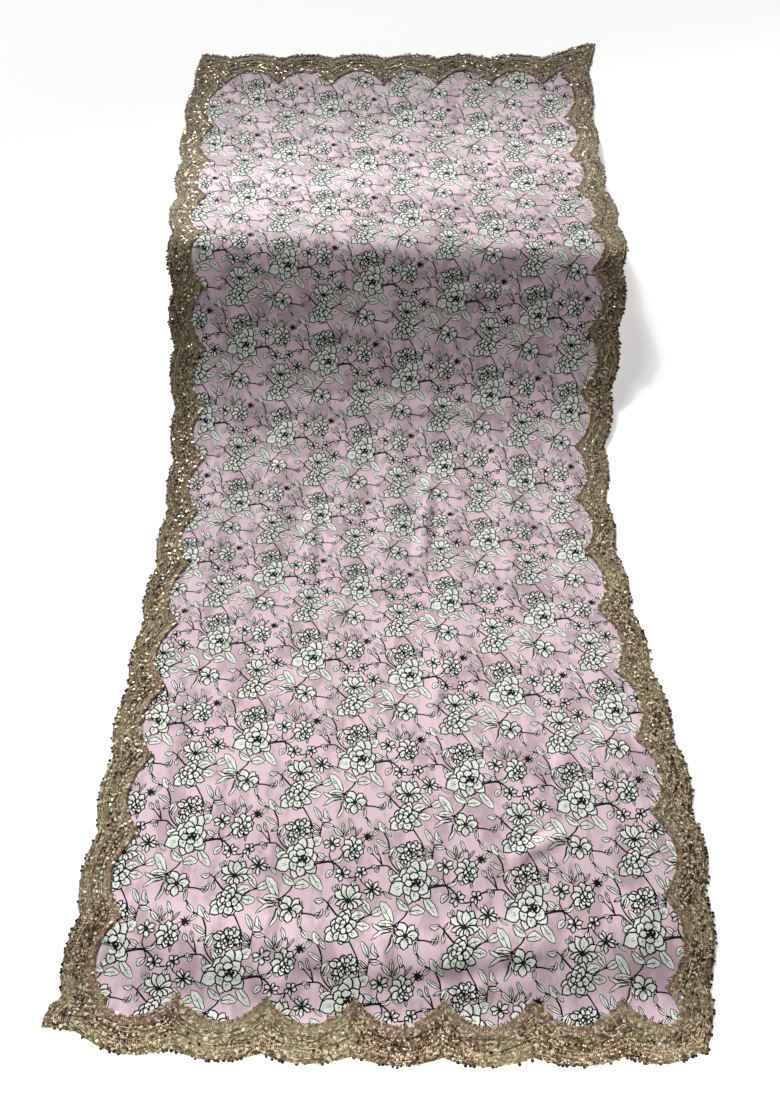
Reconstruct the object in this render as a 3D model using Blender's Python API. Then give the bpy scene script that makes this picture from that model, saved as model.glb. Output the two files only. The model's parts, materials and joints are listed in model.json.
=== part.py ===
"""A dupatta stole: one printed length of thin cloth with a scalloped lace border on all four sides.

It lies on a surface with its near end towards -Y. The cloth is flat at both ends, is drawn in at the waist,
and stands up in one low ruck that crosses it towards the far end. A few soft lengthwise folds lie near the waist.
All sizes are in metres.
"""

from collections import namedtuple

import bmesh
import bpy
import numpy as np
from mathutils import Vector
from mathutils.geometry import delaunay_2d_cdt

# Driving sizes of the cut
WIDTH = 0.950
SCALLOP = 0.131
FIRST_LOBES = 0.22
LAST_LOBES = 17.48
LENGTH = (LAST_LOBES - FIRST_LOBES) * SCALLOP

# Walls, and the gaps at a scalloped seam and at a corner's mitre
CLOTH_WALL = 0.0012
LACE_WALL = 0.0024
SEAM_GAP = 0.0004
MITRE_GAP = 0.0002

# The lace border on each side: the place of one outer notch and the distance to the next, the lace's width
# at the top of a scallop, how deep its outer notches are, and how far its inner points reach past that width
Edge = namedtuple("Edge", "notch pitch width depth reach")
NEAR_EDGE = Edge(-0.4295, 0.1278, 0.053, 0.012, 0.035)
FAR_EDGE = Edge(-0.3940, 0.1254, 0.050, 0.012, 0.040)
RIGHT_EDGE = Edge((1.00 - FIRST_LOBES) * SCALLOP, SCALLOP, 0.046, 0.011, 0.028)
LEFT_EDGE = Edge((0.75 - FIRST_LOBES) * SCALLOP, SCALLOP, 0.046, 0.011, 0.028)

# How the cloth lies: for each scallop count, the distance from the near end, the width there,
# and how far the middle has moved to the right
Section = namedtuple("Section", "lobes along width middle")
SECTIONS = (
    Section(0.22, 0.000, 0.972, -0.008),
    Section(1.00, 0.100, 0.970, -0.003),
    Section(2.00, 0.228, 0.972, 0.007),
    Section(3.00, 0.358, 0.955, 0.011),
    Section(4.00, 0.487, 0.930, 0.008),
    Section(5.00, 0.612, 0.893, 0.003),
    Section(6.00, 0.732, 0.858, -0.002),
    Section(7.00, 0.850, 0.831, -0.004),
    Section(8.00, 0.965, 0.816, -0.004),
    Section(9.00, 1.083, 0.826, -0.001),
    Section(10.00, 1.205, 0.856, 0.005),
    Section(11.00, 1.334, 0.888, 0.011),
    Section(12.00, 1.462, 0.915, 0.015),
    Section(13.00, 1.596, 0.929, 0.011),
    Section(14.00, 1.733, 0.922, 0.004),
    Section(16.00, 2.012, 0.932, 0.000),
    Section(17.48, 2.244, 0.930, 0.008),
)

# The near end bows towards -Y: its shift at the middle, and how that leans and lifts across the width
BOW_MIDDLE = -0.022
BOW_LEAN = -0.009
BOW_LIFT = 0.013
BOW_FADE = 0.16

# Corners pulled out of square: where each is on the cut (-1 or 1), and its move along X and Y
Corner = namedtuple("Corner", "side end move_x move_y")
CORNERS = (
    Corner(-1, -1, -0.012, 0.030),
    Corner(1, -1, -0.022, 0.004),
    Corner(-1, 1, 0.012, 0.000),
    Corner(1, 1, 0.016, 0.048),
)
CORNER_REACH = 0.060

# The ruck: where its crest is, how high, how far its near slope runs and eases out, where each side meets
# the floor, how round the crest is, and how far past the crest each side's curve is followed
CREST_ALONG = 1.518
CREST_LEAN = -0.028
CREST_HEIGHT = 0.094
NEAR_RUN = 0.340
NEAR_EASE = 0.050
NEAR_FOOT = 0.520
FAR_FOOT = 0.600
FAR_POWER = 1.5
CREST_ROUND = 0.006
CREST_PASS = 0.2

# A low swelling that follows the near end in an arc, so that the hem slopes down to the floor
HEM_SWELL_ALONG = 0.120
HEM_SWELL_ARC = 0.060
HEM_SWELL_HEIGHT = 0.007
HEM_SWELL_REACH = 0.085

# Soft lengthwise folds: across the floor at each end, from where to where, height and half width,
# and how many half widths out a fold's foot is
FOLD_FOOT = 1.6
Fold = namedtuple("Fold", "start_x end_x start_along end_along height half_width")
FOLDS = (
    Fold(-0.335, -0.300, 0.62, 1.16, 0.0050, 0.026),
    Fold(-0.215, -0.190, 0.74, 1.24, 0.0062, 0.028),
    Fold(-0.105, -0.085, 0.55, 1.02, 0.0044, 0.024),
    Fold(0.000, 0.012, 0.70, 1.20, 0.0058, 0.027),
    Fold(0.118, 0.105, 0.60, 1.10, 0.0048, 0.025),
    Fold(0.232, 0.205, 0.72, 1.22, 0.0064, 0.028),
    Fold(0.340, 0.312, 0.64, 1.12, 0.0050, 0.025),
)

# How often a corner's bracket is halved, and how finely the outline is divided
HALVINGS = 40
STEPS_PER_SCALLOP = 6
SAME_POINT = 1e-6

# Points inside the panel: rows along it and steps across, fine at the folds and the ruck,
# and how near the outline a point may come, as a share of its step
COARSE_STEP = 0.062
COARSE_FROM = 0.090
FINE_STEP = 0.031
FINE_ROWS = 0.050
FINE_FROM = 0.56
FINE_TO = 1.28
RUCK_STEP = 0.045
RUCK_ROWS = (1.300, 1.350, 1.400, 1.445, 1.480, 1.502, 1.518, 1.534, 1.562, 1.610, 1.680)
FAR_ROWS = 0.080
FAR_TO = 2.160
CLEAR_SHARE = 0.45


def smooth(knots, values, at):
    """A smooth curve through (knots, values): cubics whose slopes come from the neighbouring knots."""
    slopes = np.gradient(values, knots)
    place = np.clip(np.searchsorted(knots, at) - 1, 0, len(knots) - 2)
    span = knots[place + 1] - knots[place]
    t = (at - knots[place]) / span
    start = (1 + 2 * t) * (1 - t) ** 2 * values[place] + t * (1 - t) ** 2 * span * slopes[place]
    finish = t * t * (3 - 2 * t) * values[place + 1] - t * t * (1 - t) * span * slopes[place + 1]
    return start + finish


def section(name, lobes):
    """One column of the table of sections, read at a scallop count."""
    knots = np.array([row.lobes for row in SECTIONS])
    values = np.array([getattr(row, name) for row in SECTIONS])
    return smooth(knots, values, lobes)


def notch_share(place, edge):
    """1 at a notch between two scallops and 0 at the top of each scallop, along a parabola."""
    phase = np.mod((place - edge.notch) / edge.pitch, 1.0)
    return (2.0 * phase - 1.0) ** 2


def outer_inset(place, edge):
    """How far the lace's outer line lies inside the straight edge."""
    return edge.depth * notch_share(place, edge)


def inner_inset(place, edge):
    """How far the seam between lace and printed cloth lies inside the straight edge."""
    return edge.width + edge.reach * notch_share(place, edge)


def near_ramp(past):
    """Share of the crest's height at a distance past it: an even slope that eases into the floor."""
    return np.log1p(np.exp((NEAR_RUN + past) / NEAR_EASE)) / np.log1p(np.exp(NEAR_RUN / NEAR_EASE))


def ruck_height(x, along):
    """Height of the ruck: the lower of an even slope on its near side and a longer curve on its far side."""
    crest = CREST_ALONG + CREST_LEAN * x
    floor_share = near_ramp(-NEAR_FOOT)
    near_share = near_ramp(np.minimum(along - crest, CREST_PASS))
    near = CREST_HEIGHT * (near_share - floor_share) / (1 - floor_share)
    run = np.clip(1 - (along - crest) / FAR_FOOT, 0, 1 + CREST_PASS / FAR_FOOT)
    far = CREST_HEIGHT * run ** FAR_POWER
    low = np.minimum(near, far)
    rounding = CREST_ROUND * np.log1p(np.exp(-np.abs(near - far) / CREST_ROUND))
    fade = np.clip(low / (3 * CREST_ROUND), 0, 1)
    return np.clip(low - rounding * fade, 0, None)


def fold_height(x, along):
    """Height of the soft lengthwise folds: a bell across each fold, swelling and dying along it."""
    height = np.zeros_like(x)
    for fold in FOLDS:
        share = (along - fold.start_along) / (fold.end_along - fold.start_along)
        middle = fold.start_x + (fold.end_x - fold.start_x) * share
        swell = np.sin(np.pi * np.clip(share, 0, 1)) ** 2
        bell = np.clip(1 - ((x - middle) / (FOLD_FOOT * fold.half_width)) ** 2, 0, None) ** 2
        height = height + fold.height * swell * bell
    return height


def hem_swell(x, along):
    """Height of the low swelling near the near end: a bell across an arc that bends away at both sides."""
    middle = HEM_SWELL_ALONG + HEM_SWELL_ARC * (2 * x / WIDTH) ** 2
    bell = np.clip(1 - ((along - middle) / HEM_SWELL_REACH) ** 2, 0, None) ** 2
    return HEM_SWELL_HEIGHT * bell * np.clip(1 - (2 * x / WIDTH) ** 4, 0, None)


def lay(across, down):
    """Where a point of the flat cut lies: across from the middle and down its length, to x, y and height."""
    across = np.asarray(across, dtype=float)
    down = np.asarray(down, dtype=float)
    lobes = FIRST_LOBES + down / SCALLOP
    x = section("middle", lobes) + across * section("width", lobes) / WIDTH
    along = section("along", lobes)
    side = 2 * across / WIDTH
    bow = BOW_MIDDLE + BOW_LEAN * side + BOW_LIFT * side ** 2
    along = along + bow * np.exp(-(down / BOW_FADE) ** 2)
    for corner in CORNERS:
        from_side = across - corner.side * WIDTH / 2
        from_end = down - (LENGTH if corner.end > 0 else 0.0)
        pull = np.exp(-(from_side ** 2 + from_end ** 2) / CORNER_REACH ** 2)
        x = x + corner.move_x * pull
        along = along + corner.move_y * pull
    height = ruck_height(x, along) + fold_height(x, along) + hem_swell(x, along)
    return np.stack([x, along, height], axis=-1)


def stops(start, end, edge, trim):
    """Places along one side between two corners, in equal steps from notch to notch, trimmed at both ends."""
    step = edge.pitch / STEPS_PER_SCALLOP
    first = np.ceil((start - edge.notch) / step + 0.25)
    last = np.floor((end - edge.notch) / step - 0.25)
    between = edge.notch + step * np.arange(first, last + 1)
    return np.concatenate([[start + trim], between, [end - trim]])


def corner_of(side, end, inset):
    """The point of the cut where a long line crosses a short line, found by halving."""
    side_edge = RIGHT_EDGE if side > 0 else LEFT_EDGE
    end_edge = FAR_EDGE if end > 0 else NEAR_EDGE

    def at_end(across):
        reach = inset(across, end_edge)
        return LENGTH - reach if end > 0 else reach

    def miss(across):
        return across - side * (WIDTH / 2 - inset(at_end(across), side_edge))

    outer = side * (WIDTH / 2 + side_edge.depth)
    inner = side * (WIDTH / 2 - side_edge.width - 2 * side_edge.reach)
    for _ in range(HALVINGS):
        middle = (outer + inner) / 2
        if miss(middle) * miss(outer) > 0:
            outer = middle
        else:
            inner = middle
    return outer, at_end(outer)


def side_line(side, inset, shift=0.0, trim=0.0):
    """One long line of the cut from corner to corner, running towards the far end."""
    edge = RIGHT_EDGE if side > 0 else LEFT_EDGE
    down = stops(corner_of(side, -1, inset)[1], corner_of(side, 1, inset)[1], edge, trim)
    across = side * (WIDTH / 2 - inset(down, edge) + shift)
    return np.stack([across, down], axis=-1)


def end_line(end, inset, shift=0.0, trim=0.0):
    """One short line of the cut from corner to corner, running from left to right."""
    edge = FAR_EDGE if end > 0 else NEAR_EDGE
    across = stops(corner_of(-1, end, inset)[0], corner_of(1, end, inset)[0], edge, trim)
    reach = inset(across, edge) - shift
    down = LENGTH - reach if end > 0 else reach
    return np.stack([across, down], axis=-1)


def panel_outline():
    """The printed panel's outline: four scalloped seam lines, joined at the corners."""
    near = end_line(-1, inner_inset)
    right = side_line(1, inner_inset)
    far = end_line(1, inner_inset)[::-1]
    left = side_line(-1, inner_inset)[::-1]
    return np.concatenate([near[:-1], right[:-1], far[:-1], left[:-1]])


def lace_outline(line, place):
    """A lace strip with mitred corners: out along its free edge and back along its seam."""
    outer = line(place, outer_inset, 0.0, MITRE_GAP)
    inner = line(place, inner_inset, SEAM_GAP, MITRE_GAP)
    return np.concatenate([outer, inner[::-1]])


def rows_inside():
    """Rows of points across the panel: the distance from the near end, the step across and the lean of each."""
    flat_near = [(along, COARSE_STEP, 0.0) for along in np.arange(COARSE_FROM, FINE_FROM, COARSE_STEP)]
    folded = [(along, FINE_STEP, 0.0) for along in np.arange(FINE_FROM, FINE_TO, FINE_ROWS)]
    ruck = [(along, RUCK_STEP, CREST_LEAN) for along in RUCK_ROWS]
    flat_far = [(along, COARSE_STEP, 0.0) for along in np.arange(RUCK_ROWS[-1] + FAR_ROWS, FAR_TO, FAR_ROWS)]
    return flat_near + folded + ruck + flat_far


def inside_points(outline):
    """Points inside the panel, on those rows, every second row shifted by half a step."""
    knots = np.array([row.along for row in SECTIONS])
    lobes = np.array([row.lobes for row in SECTIONS])
    points = []
    for number, (along, step, lean) in enumerate(rows_inside()):
        across = np.arange(-WIDTH / 2 + 0.5 * step * (number % 2), WIDTH / 2, step)
        down = (smooth(knots, lobes, along + lean * across) - FIRST_LOBES) * SCALLOP
        clear = np.abs(across) < WIDTH / 2 - RIGHT_EDGE.width - RIGHT_EDGE.reach
        for point in np.stack([across, down], axis=-1)[clear]:
            if np.hypot(*(outline - point).T).min() > CLEAR_SHARE * step:
                points.append(point)
    return points


def cloth_wall(name, outline, wall, inside=()):
    """A closed wall: the flat outline cut into triangles, laid where the cloth lies and raised by the wall."""
    corners = [Vector(point) for point in outline]
    around = [(i, (i + 1) % len(corners)) for i in range(len(corners))]
    extra = [Vector(point) for point in inside]
    flat, _, faces, *_ = delaunay_2d_cdt(corners + extra, around, [], 1, SAME_POINT)
    cut = np.array([point[:] for point in flat])
    laid = lay(cut[:, 0], cut[:, 1]) - MIDDLE
    mesh = bpy.data.meshes.new(name)
    mesh.from_pydata(laid.tolist(), [], [tuple(face) for face in faces])
    shape = bmesh.new()
    shape.from_mesh(mesh)
    raised = bmesh.ops.extrude_face_region(shape, geom=shape.faces[:], use_keep_orig=True)
    top = [item for item in raised["geom"] if isinstance(item, bmesh.types.BMVert)]
    bmesh.ops.translate(shape, verts=top, vec=(0.0, 0.0, wall))
    bmesh.ops.recalc_face_normals(shape, faces=shape.faces[:])
    shape.to_mesh(mesh)
    shape.free()
    return mesh


def cloth_material(name, colour, roughness):
    """A plain matt material of the piece's main colour."""
    material = bpy.data.materials.new(name)
    material.use_nodes = True
    shader = material.node_tree.nodes["Principled BSDF"]
    shader.inputs["Base Color"].default_value = (*colour, 1.0)
    shader.inputs["Roughness"].default_value = roughness
    shader.inputs["Metallic"].default_value = 0.0
    return material


def add_piece(name, mesh, material, collection):
    """One cloth piece in the part's collection, with its material."""
    mesh.materials.append(material)
    piece = bpy.data.objects.new(name, mesh)
    collection.objects.link(piece)


def outline_middle():
    """The middle of the laid outline on the floor, which becomes the origin."""
    cut = np.concatenate([line(place, outer_inset) for line in (side_line, end_line) for place in (-1, 1)])
    laid = lay(cut[:, 0], cut[:, 1])
    middle = (laid.min(axis=0) + laid.max(axis=0)) / 2
    return np.array([middle[0], middle[1], 0.0])


def clear_scene():
    """Remove whatever the scene starts with."""
    for item in list(bpy.data.objects):
        bpy.data.objects.remove(item, do_unlink=True)


def build():
    """Make the printed panel and the four lace strips."""
    clear_scene()
    collection = bpy.data.collections.new("dupatta_stole")
    bpy.context.scene.collection.children.link(collection)
    print_pink = cloth_material("printed_cloth_pink", (0.62, 0.36, 0.47), 0.7)
    outline = panel_outline()
    panel = cloth_wall("printed_panel", outline, CLOTH_WALL, inside_points(outline))
    add_piece("printed_panel", panel, print_pink, collection)
    strips = (
        ("lace_near_end", lace_outline(end_line, -1)),
        ("lace_far_end", lace_outline(end_line, 1)),
        ("lace_left_side", lace_outline(side_line, -1)),
        ("lace_right_side", lace_outline(side_line, 1)),
    )
    for name, strip in strips:
        lace_gold = cloth_material(name + "_gold", (0.30, 0.22, 0.12), 0.6)
        add_piece(name, cloth_wall(name, strip, LACE_WALL), lace_gold, collection)


MIDDLE = outline_middle()
build()
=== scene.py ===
# %% [markdown]
# # A dupatta stole, laid out on a floor
# A dupatta is a long stole. This one is thin, slightly shiny cloth with an all-over print of garden flowers,
# and a scalloped border of gold embroidery on net is sewn along all four sides. It lies open on the floor.
# One low ruck crosses it, and small creases show where it has been folded and handled.
#
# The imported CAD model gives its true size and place. Everything below is built around that model in metres.

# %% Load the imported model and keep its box
import json

import bpy
import numpy as np
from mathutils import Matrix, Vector
from mathutils.geometry import delaunay_2d_cdt

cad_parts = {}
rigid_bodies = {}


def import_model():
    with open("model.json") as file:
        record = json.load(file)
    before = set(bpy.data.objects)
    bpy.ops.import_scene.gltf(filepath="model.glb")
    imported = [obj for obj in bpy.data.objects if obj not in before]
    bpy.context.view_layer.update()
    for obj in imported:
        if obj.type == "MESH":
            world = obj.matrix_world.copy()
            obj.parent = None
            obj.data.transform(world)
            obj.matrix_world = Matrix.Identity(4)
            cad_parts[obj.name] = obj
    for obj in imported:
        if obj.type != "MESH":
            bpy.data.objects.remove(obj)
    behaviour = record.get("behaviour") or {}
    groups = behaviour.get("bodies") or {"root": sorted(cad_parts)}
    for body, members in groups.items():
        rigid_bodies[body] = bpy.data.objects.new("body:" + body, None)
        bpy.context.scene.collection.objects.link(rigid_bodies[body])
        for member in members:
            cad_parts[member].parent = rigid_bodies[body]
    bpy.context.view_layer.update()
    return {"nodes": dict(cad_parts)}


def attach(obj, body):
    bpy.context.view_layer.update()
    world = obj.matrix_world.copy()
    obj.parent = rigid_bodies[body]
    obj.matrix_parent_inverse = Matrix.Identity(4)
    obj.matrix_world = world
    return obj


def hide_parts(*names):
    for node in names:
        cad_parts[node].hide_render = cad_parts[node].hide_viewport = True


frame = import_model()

print("nodes:", ", ".join(sorted(frame["nodes"])))

# %% [markdown]
# ## Where the cloth lies
# Cloth is easiest to think of twice: once flat, as it was cut, and once as it lies. A point of the flat cut
# has two numbers, how far across from the middle and how far down the length. The function `lay` says where
# such a point lies on the floor and how high. Print, lace, cords and sequins are all drawn on the flat cut,
# and `lay` carries every one of them, so they follow each fold together.

# %% Sizes of the cut and of its four scalloped edges
WIDTH = 0.950
SCALLOP = 0.131
FIRST_LOBES, LAST_LOBES = 0.22, 17.48
LENGTH = (LAST_LOBES - FIRST_LOBES) * SCALLOP
MIDDLE = np.array([-0.006755, 1.129899, 0.0])

# Each edge: its side, the place of one outer notch, the distance to the next, the lace's width at the top of
# a scallop, how deep its outer notches are, and how far its inner points reach past that width
EDGES = {
    "near_end": (-1, -0.4295, 0.1278, 0.053, 0.012, 0.035),
    "far_end": (1, -0.3940, 0.1254, 0.050, 0.012, 0.040),
    "left_side": (-1, (0.75 - FIRST_LOBES) * SCALLOP, SCALLOP, 0.046, 0.011, 0.028),
    "right_side": (1, (1.00 - FIRST_LOBES) * SCALLOP, SCALLOP, 0.046, 0.011, 0.028),
}
print(f"the cut is {WIDTH:.3f} by {LENGTH:.3f} m")

# %% How the cloth lies: columns are scallop count, distance from the near end, width, shift of the middle
SECTIONS = np.array([
    (0.22, 0, 0.972, -0.008), (1, 0.1, 0.97, -0.003), (2, 0.228, 0.972, 0.007), (3, 0.358, 0.955, 0.011),
    (4, 0.487, 0.93, 0.008), (5, 0.612, 0.893, 0.003), (6, 0.732, 0.858, -0.002), (7, 0.85, 0.831, -0.004),
    (8, 0.965, 0.816, -0.004), (9, 1.083, 0.826, -0.001), (10, 1.205, 0.856, 0.005), (11, 1.334, 0.888, 0.011),
    (12, 1.462, 0.915, 0.015), (13, 1.596, 0.929, 0.011), (14, 1.733, 0.922, 0.004), (16, 2.012, 0.932, 0),
    (17.48, 2.244, 0.93, 0.008),
])

# The near end bows: its shift at the middle, how that leans and lifts across, and how soon it dies out
BOW_MIDDLE, BOW_LEAN, BOW_LIFT, BOW_FADE = -0.022, -0.009, 0.013, 0.16

# Corners pulled out of square: side, end, move along X and Y, and how far round them the cloth follows
CORNERS = ((-1, -1, -0.012, 0.030), (1, -1, -0.022, 0.004), (-1, 1, 0.012, 0.000), (1, 1, 0.016, 0.048))
CORNER_REACH = 0.060


def smooth(knots, values, at):
    """A smooth curve through (knots, values): cubics whose slopes come from the neighbouring knots."""
    slopes = np.gradient(values, knots)
    place = np.clip(np.searchsorted(knots, at) - 1, 0, len(knots) - 2)
    span = knots[place + 1] - knots[place]
    t = (at - knots[place]) / span
    start = (1 + 2 * t) * (1 - t) ** 2 * values[place] + t * (1 - t) ** 2 * span * slopes[place]
    finish = t * t * (3 - 2 * t) * values[place + 1] - t * t * (1 - t) * span * slopes[place + 1]
    return start + finish


def on_floor(across, down):
    """Where a point of the cut is on the floor: the sections' width, middle and length, bow and corners."""
    lobes = FIRST_LOBES + down / SCALLOP
    along, width, middle = (smooth(SECTIONS[:, 0], SECTIONS[:, column], lobes) for column in (1, 2, 3))
    x = middle + across * width / WIDTH
    side = 2 * across / WIDTH
    bow = BOW_MIDDLE + BOW_LEAN * side + BOW_LIFT * side ** 2
    along = along + bow * np.exp(-(down / BOW_FADE) ** 2)
    for corner_side, corner_end, move_x, move_y in CORNERS:
        from_side = across - corner_side * WIDTH / 2
        from_end = down - (LENGTH if corner_end > 0 else 0.0)
        pull = np.exp(-(from_side ** 2 + from_end ** 2) / CORNER_REACH ** 2)
        x = x + move_x * pull
        along = along + move_y * pull
    return x, along


corner_test = on_floor(np.array([WIDTH / 2]), np.array([LENGTH]))
print("far right corner on the floor:", [round(float(value[0]), 3) for value in corner_test])

# %% [markdown]
# ## The ruck, the folds and the creases
# The solids already have the ruck, seven soft lengthwise folds and the swelling behind the near hem. The real
# cloth also shows finer marks: pale fold lines that cross it below the ruck, and short troughs where it has
# been drawn in. Each is given one by one with its own length, height and width, because real creases are
# uneven. A crease is a bell across its own line, and it swells and dies along that line.

# %% Height of the cloth's underside above the floor
# Folds in millimetres: from (x, along) to (x, along), height and half width
FOLDS = np.array([
    (-335, 620, -300, 1160, 5, 26), (-215, 740, -190, 1240, 6.2, 28), (-105, 550, -85, 1020, 4.4, 24),
    (0, 700, 12, 1200, 5.8, 27), (118, 600, 105, 1100, 4.8, 25), (232, 720, 205, 1220, 6.4, 28),
    (340, 640, 312, 1120, 5, 25),
]) / 1000
CREST_ALONG, CREST_LEAN, CREST_HEIGHT, CREST_ROUND, CREST_PASS = 1.518, -0.028, 0.094, 0.006, 0.2
NEAR_RUN, NEAR_EASE, NEAR_FOOT, FAR_FOOT, FAR_POWER, FOLD_FOOT = 0.340, 0.050, 0.520, 0.600, 1.5, 1.6
SWELL_ALONG, SWELL_ARC, SWELL_HEIGHT, SWELL_REACH = 0.120, 0.060, 0.007, 0.085


def near_ramp(past):
    """Share of the crest's height at a distance past it: log(1 + exp), so it eases into the floor."""
    return np.log1p(np.exp((NEAR_RUN + past) / NEAR_EASE)) / np.log1p(np.exp(NEAR_RUN / NEAR_EASE))


def ruck_height(x, along):
    """The lower of an even near slope and a longer far curve, rounded where they meet."""
    crest = CREST_ALONG + CREST_LEAN * x
    floor_share = near_ramp(-NEAR_FOOT)
    near_share = near_ramp(np.minimum(along - crest, CREST_PASS))
    near = CREST_HEIGHT * (near_share - floor_share) / (1 - floor_share)
    far = CREST_HEIGHT * np.clip(1 - (along - crest) / FAR_FOOT, 0, 1 + CREST_PASS / FAR_FOOT) ** FAR_POWER
    low = np.minimum(near, far)
    rounding = CREST_ROUND * np.log1p(np.exp(-np.abs(near - far) / CREST_ROUND))
    return np.clip(low - rounding * np.clip(low / (3 * CREST_ROUND), 0, 1), 0, None)


def solid_height(x, along):
    """Height of the CAD cloth: the ruck, the lengthwise folds and the swelling behind the near hem."""
    height = ruck_height(x, along)
    for x0, along0, x1, along1, rise, half in FOLDS:
        share = (along - along0) / (along1 - along0)
        middle = x0 + (x1 - x0) * share
        bell = np.clip(1 - ((x - middle) / (FOLD_FOOT * half)) ** 2, 0, None) ** 2
        height = height + rise * np.sin(np.pi * np.clip(share, 0, 1)) ** 2 * bell
    middle = SWELL_ALONG + SWELL_ARC * (2 * x / WIDTH) ** 2
    bell = np.clip(1 - ((along - middle) / SWELL_REACH) ** 2, 0, None) ** 2
    return height + SWELL_HEIGHT * bell * np.clip(1 - (2 * x / WIDTH) ** 4, 0, None)


# Creases, given as the folds are: below 0 for a trough, though on the floor a crease can only stand up
CREASES = np.array([
    (-330, 1178, 350, 1160, 1.8, 18), (-420, 1064, -120, 1058, -2, 16), (60, 1414, 350, 1410, 1.2, 14),
    (-146, 990, -138, 720, 7, 12), (74, 1050, 52, 780, 7, 12), (88, 655, 80, 530, 3.6, 11),
    (-2, 200, -10, 90, 3.2, 11), (176, 272, 282, 330, 4, 12), (-300, 860, -275, 640, 2.8, 12),
    (205, 900, 215, 700, 2.8, 11), (300, 520, 262, 400, 2.6, 12), (-230, 430, -205, 250, 2.6, 12),
    (-360, 330, -345, 210, 2.4, 10), (395, 240, 370, 120, 2.6, 11), (130, 170, 125, 70, -2.4, 10),
    (-170, 150, -180, 70, -2.2, 10), (-270, 165, -60, 78, -2.6, 14), (-60, 78, 310, 128, -2.6, 14),
    (-200, 1330, 30, 1338, 1, 14), (-300, 1700, 260, 1712, 2.4, 20), (-100, 1860, 330, 1852, -2.2, 18),
    (-330, 1960, 20, 1972, 2, 18), (40, 1250, 46, 1420, -1.4, 14), (-240, 1300, -236, 1460, -1.2, 14),
]) / 1000


def crease_height(x, along):
    """Sum of the creases: each a bell across its own line, times the sine of the share along it."""
    height = np.zeros_like(x)
    for x0, along0, x1, along1, rise, half in CREASES:
        run_x, run_along = x1 - x0, along1 - along0
        length = np.hypot(run_x, run_along)
        share = ((x - x0) * run_x + (along - along0) * run_along) / length ** 2
        off = ((x - x0) * run_along - (along - along0) * run_x) / length
        bell = np.clip(1 - (off / (2 * half)) ** 2, 0, None) ** 3
        height = height + rise * bell * np.sin(np.pi * np.clip(share, 0, 1))
    return height


def stacked(*parts):
    """Arrays of one number a point, stretched to one size and put side by side as the points' coordinates."""
    return np.stack(np.broadcast_arrays(*parts), axis=-1)


def lay(across, down, lift=0.0):
    """A point of the cut as it lies: its place on the floor, and the solid's height plus creases plus lift."""
    across, down = np.broadcast_arrays(np.asarray(across, float), np.asarray(down, float))
    x, along = on_floor(across, down)
    height = np.maximum(solid_height(x, along) + crease_height(x, along), 0.0)
    return stacked(x, along, height + lift) - MIDDLE


def facing(across, down, step=0.002):
    """The way the laid cloth faces: the cross product of its two slopes, worked out by small differences."""
    right = lay(across + step, down) - lay(across - step, down)
    ahead = lay(across, down + step) - lay(across, down - step)
    normal = np.cross(right, ahead)
    return normal / np.linalg.norm(normal, axis=-1, keepdims=True)


crest = lay(np.zeros(400), np.linspace(0, LENGTH, 400))
print(f"highest point of the middle line: {1000 * crest[:, 2].max():.0f} mm")

# %% [markdown]
# ## Camera, floor and light
# The photo was taken from above the near end, looking down at about 57 degrees, which is why the near end
# looks so much wider than the far one. The floor is white paper with a little light of its own. A large soft
# light stands low behind the far end: it brightens the far side of the ruck, leaves the near side in shade,
# and makes creases show. A grid on a softbox keeps its light in a narrow beam, so three more can brighten
# the near half, the far end and the near edge alone. One at the left fills the shade.

# %% Camera at the photo's angle
CAMERA_PLACE = (0.0068, -1.5329, 1.958)
CAMERA_DOWN = np.radians(57.5)
SENSOR = 36.0
LENS_SHARE = 1300 / 1108

camera_data = bpy.data.cameras.new("photo_camera")
camera_data.sensor_fit = "VERTICAL"
camera_data.sensor_height = SENSOR
camera_data.lens = SENSOR * LENS_SHARE
camera = bpy.data.objects.new("photo_camera", camera_data)
camera.location = CAMERA_PLACE
camera.rotation_euler = (np.pi / 2 - CAMERA_DOWN, 0.0, 0.0)
bpy.context.scene.collection.objects.link(camera)
bpy.context.scene.camera = camera
print(f"lens {camera_data.lens:.1f} mm, {CAMERA_PLACE[2]:.2f} m above the floor")


# %% Colours and small helpers for shader nodes
def linear(hex_colour):
    """An sRGB hex colour as linear red, green, blue and alpha."""
    parts = np.array([int(hex_colour[i:i + 2], 16) for i in (1, 3, 5)]) / 255
    values = np.where(parts <= 0.04045, parts / 12.92, ((parts + 0.055) / 1.055) ** 2.4)
    return (*map(float, values), 1.0)


def add_node(material, kind, settings=None, **links):
    """Add one node: settings are its properties, and links are its inputs, each a value or another's output."""
    node = material.node_tree.nodes.new("ShaderNode" + kind)
    for name, value in (settings or {}).items():
        setattr(node, name, value)
    for name, value in links.items():
        key = int(name[1:]) if name[0] == "i" and name[1:].isdigit() else name.replace("_", " ")
        if isinstance(value, bpy.types.NodeSocket):
            material.node_tree.links.new(value, node.inputs[key])
        else:
            node.inputs[key].default_value = value
    return node


def new_material(name, **settings):
    """A material of one Principled shader, with its constants set on the shader's own sockets."""
    material = bpy.data.materials.new(name)
    material.use_nodes = True
    shader = material.node_tree.nodes["Principled BSDF"]
    for key, value in settings.items():
        shader.inputs[key.replace("_", " ")].default_value = value
    return material, shader


def plug(material, source, socket):
    """Link an output to one of the shader's sockets."""
    material.node_tree.links.new(source, socket)


print("paper white in linear light:", [round(value, 3) for value in linear("#f4f4f2")[:3]])

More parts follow.
